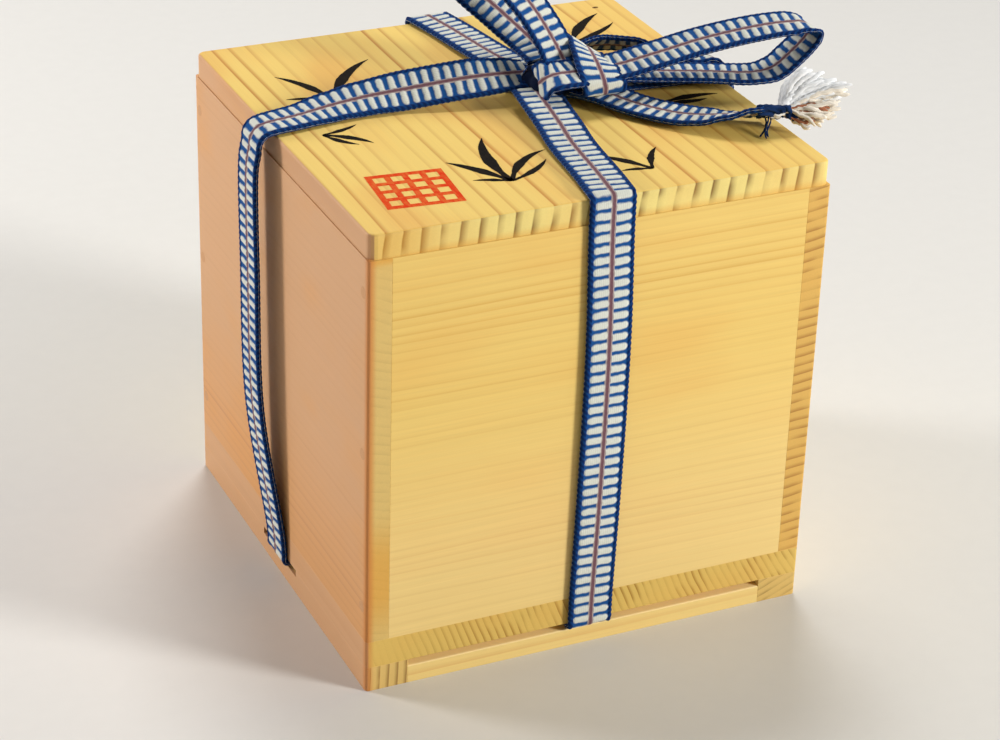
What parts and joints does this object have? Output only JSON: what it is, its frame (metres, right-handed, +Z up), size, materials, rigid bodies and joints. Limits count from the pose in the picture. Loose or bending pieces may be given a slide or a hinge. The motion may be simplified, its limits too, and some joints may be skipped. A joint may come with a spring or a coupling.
{
  "type": "tomobako storage box",
  "caption": "Square pale wooden storage box with a loose battened lid, raised feet slotted for the cord, and a flat woven tape passed under the base and tied in a bow on the lid.",
  "frame": {"origin": "centre of the box's footprint on the surface it stands on", "axes": "+Z up, -Y the front wall, +X to the right along the front wall"},
  "size_m": [0.1104, 0.0938, 0.1231],
  "materials": {
    "wood_lid": "planed bare softwood, straight wide grain",
    "wood_front_wall": "planed bare softwood, fine level grain",
    "wood_side_wall": "planed bare softwood, pinkish, faint grain",
    "wood_base": "planed bare softwood, end grain at the front",
    "wood_peg": "cut hardwood peg end",
    "tape": "woven cotton tape, blue with cream rungs and a brown centre line",
    "yarn": "frayed cotton yarn"
  },
  "bodies": {
    "box": {"base_board": "wood_base", "front_foot_rail": "wood_base", "front_left_wall_peg_1": "wood_peg", "front_left_wall_peg_2": "wood_peg", "front_left_wall_peg_3": "wood_peg", "front_right_wall_peg_1": "wood_peg", "front_right_wall_peg_2": "wood_peg", "front_right_wall_peg_3": "wood_peg", "front_wall": "wood_front_wall", "left_foot": "wood_base", "left_foot_peg_1": "wood_peg", "left_foot_peg_2": "wood_peg", "left_wall": "wood_side_wall", "rear_foot_rail": "wood_base", "rear_left_wall_peg_1": "wood_peg", "rear_left_wall_peg_2": "wood_peg", "rear_left_wall_peg_3": "wood_peg", "rear_right_wall_peg_1": "wood_peg", "rear_right_wall_peg_2": "wood_peg", "rear_right_wall_peg_3": "wood_peg", "rear_wall": "wood_front_wall", "right_foot": "wood_base", "right_foot_peg_1": "wood_peg", "right_foot_peg_2": "wood_peg", "right_wall": "wood_side_wall", "tape_front_run": "tape", "tape_left_run": "tape", "tape_rear_run": "tape", "tape_right_run": "tape", "tape_under_front_to_rear": "tape", "tape_under_left_to_right": "tape"},
    "lid": {"back_loop": "tape", "batten_peg_front_1": "wood_peg", "batten_peg_front_2": "wood_peg", "batten_peg_left_1": "wood_peg", "batten_peg_left_2": "wood_peg", "batten_peg_rear_1": "wood_peg", "batten_peg_rear_2": "wood_peg", "batten_peg_right_1": "wood_peg", "batten_peg_right_2": "wood_peg", "knot": "tape", "lid_batten_front": "wood_lid", "lid_batten_left": "wood_lid", "lid_batten_rear": "wood_lid", "lid_batten_right": "wood_lid", "lid_board": "wood_lid", "rear_tail": "tape", "rear_tassel": "yarn", "right_loop": "tape", "right_tail": "tape", "right_tassel": "yarn", "tape_front_top": "tape", "tape_left_top": "tape", "tape_rear_top": "tape", "tape_right_top": "tape"}
  },
  "joints": [
    {"name": "lid_lift", "type": "slide", "parent": "box", "child": "lid", "axis": [0, 0, 1], "range_m": [0, 0.04], "deforming": ["tape_front_run", "tape_left_run", "tape_rear_run", "tape_right_run"]}
  ]
}
